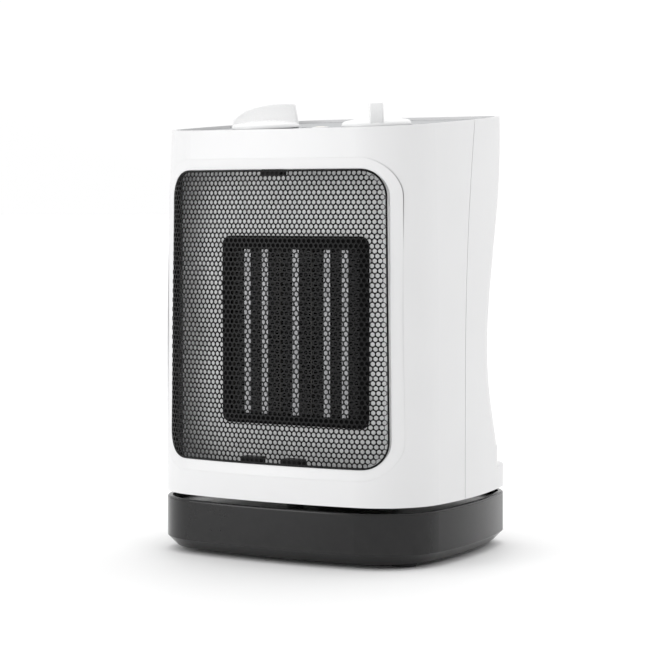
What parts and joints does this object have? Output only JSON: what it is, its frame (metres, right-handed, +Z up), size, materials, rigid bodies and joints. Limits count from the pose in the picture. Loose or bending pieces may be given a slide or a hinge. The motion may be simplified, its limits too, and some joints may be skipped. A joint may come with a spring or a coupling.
{
  "type": "ceramic space heater",
  "caption": "Upright ceramic fan heater with a perforated front, waisted back, two rotary knobs on a sloped top and a swinging black base.",
  "frame": {"origin": "on the floor under the middle of the base", "axes": "+Z up, -Y out of the front, +X to the right of somebody who faces the front"},
  "size_m": [0.174, 0.152, 0.2533],
  "materials": {
    "white_housing": "satin moulded white",
    "white_grille": "satin moulded white",
    "white_knob": "satin moulded white",
    "grey_panel": "silver grey, fine grain",
    "charcoal_mesh": "charcoal powder coat",
    "light_baffle": "light, semi-matt",
    "black_frame": "matt black",
    "aluminium_bars": "plain aluminium",
    "dark_fins": "darkened aluminium",
    "insulator": "dark film",
    "copper_tab": "plain brass",
    "steel": "plain steel",
    "bronze": "sintered bronze",
    "black_plastic": "matt black",
    "black_base": "semi-gloss charcoal black",
    "rubber": "matt rubber",
    "switch_body": "phenolic, matt",
    "natural_plastic": "black acetal",
    "clear_lens": "clear lens in a pale ring",
    "lamp": "neon lamp"
  },
  "bodies": {
    "base": {"base_housing": "black_base", "bottom_plate": "black_base", "base_screws": "steel", "rubber_feet": "rubber", "ballast_plate": "steel", "swing_motor": "steel", "glide_ring": "natural_plastic", "pivot_retainer": "natural_plastic", "tip_switch": "switch_body", "plunger_spring": "steel", "cord_gland": "black_plastic", "terminal_block": "switch_body"},
    "tower": {"front_shell": "white_housing", "rear_shell": "white_housing", "rear_grille": "white_grille", "front_grille": "charcoal_mesh", "control_panel": "grey_panel", "inner_baffle": "light_baffle", "heater_frame": "black_frame", "ceramic_bars": "aluminium_bars", "insulating_strips": "insulator", "fin_stacks": "dark_fins", "heater_tabs": "copper_tab", "air_duct": "light_baffle", "thermal_cutout": "steel", "fan_shroud": "black_frame", "motor_bracket": "steel", "fan_motor": "steel", "motor_bushes": "bronze", "thermostat": "switch_body", "mode_switch": "switch_body", "indicator_lens": "clear_lens", "indicator_lamp": "lamp", "body_floor": "natural_plastic", "mesh_clips": "charcoal_mesh", "shell_screws": "steel"},
    "fan": {"motor_shaft": "steel", "fan_impeller": "black_plastic"},
    "thermostat_dial": {"thermostat_shaft": "steel", "thermostat_knob": "white_knob"},
    "mode_dial": {"mode_switch_shaft": "steel", "mode_switch_knob": "white_knob"},
    "crank": {"crank_shaft": "steel", "crank_arm": "black_plastic", "crank_pin": "steel"},
    "plunger": {"tip_plunger": "black_plastic"}
  },
  "joints": [
    {"name": "swing", "type": "hinge", "parent": "base", "child": "tower", "pos_m": [0, 0, 0.034], "axis": [0, 0, 1], "range_deg": [-32, 32]},
    {"name": "crank_turn", "type": "hinge", "parent": "base", "child": "crank", "pos_m": [0, 0.04, 0.028], "axis": [0, 0, 1], "range_deg": [-90, 90]},
    {"name": "fan_spin", "type": "hinge", "parent": "tower", "child": "fan", "pos_m": [0, -0.01, 0.125], "axis": [0, 1, 0], "continuous": true},
    {"name": "thermostat_turn", "type": "hinge", "parent": "tower", "child": "thermostat_dial", "pos_m": [0.0366, -0.0198, 0.23788], "axis": [0, -0.0758, 0.9971], "range_deg": [-180, 90]},
    {"name": "mode_turn", "type": "hinge", "parent": "tower", "child": "mode_dial", "pos_m": [-0.0366, -0.0198, 0.23788], "axis": [0, -0.0758, 0.9971], "range_deg": [-90, 180]},
    {"name": "plunger_press", "type": "slide", "parent": "base", "child": "plunger", "axis": [0, 0, -1], "range_m": [0, 0.004], "stiffness_N_per_m": 40, "springref_m": 0.006, "deforming": ["plunger_spring"]}
  ],
  "couplings": [
    {"joint": "crank_turn", "follows": "swing", "ratio": 2.8125}
  ]
}
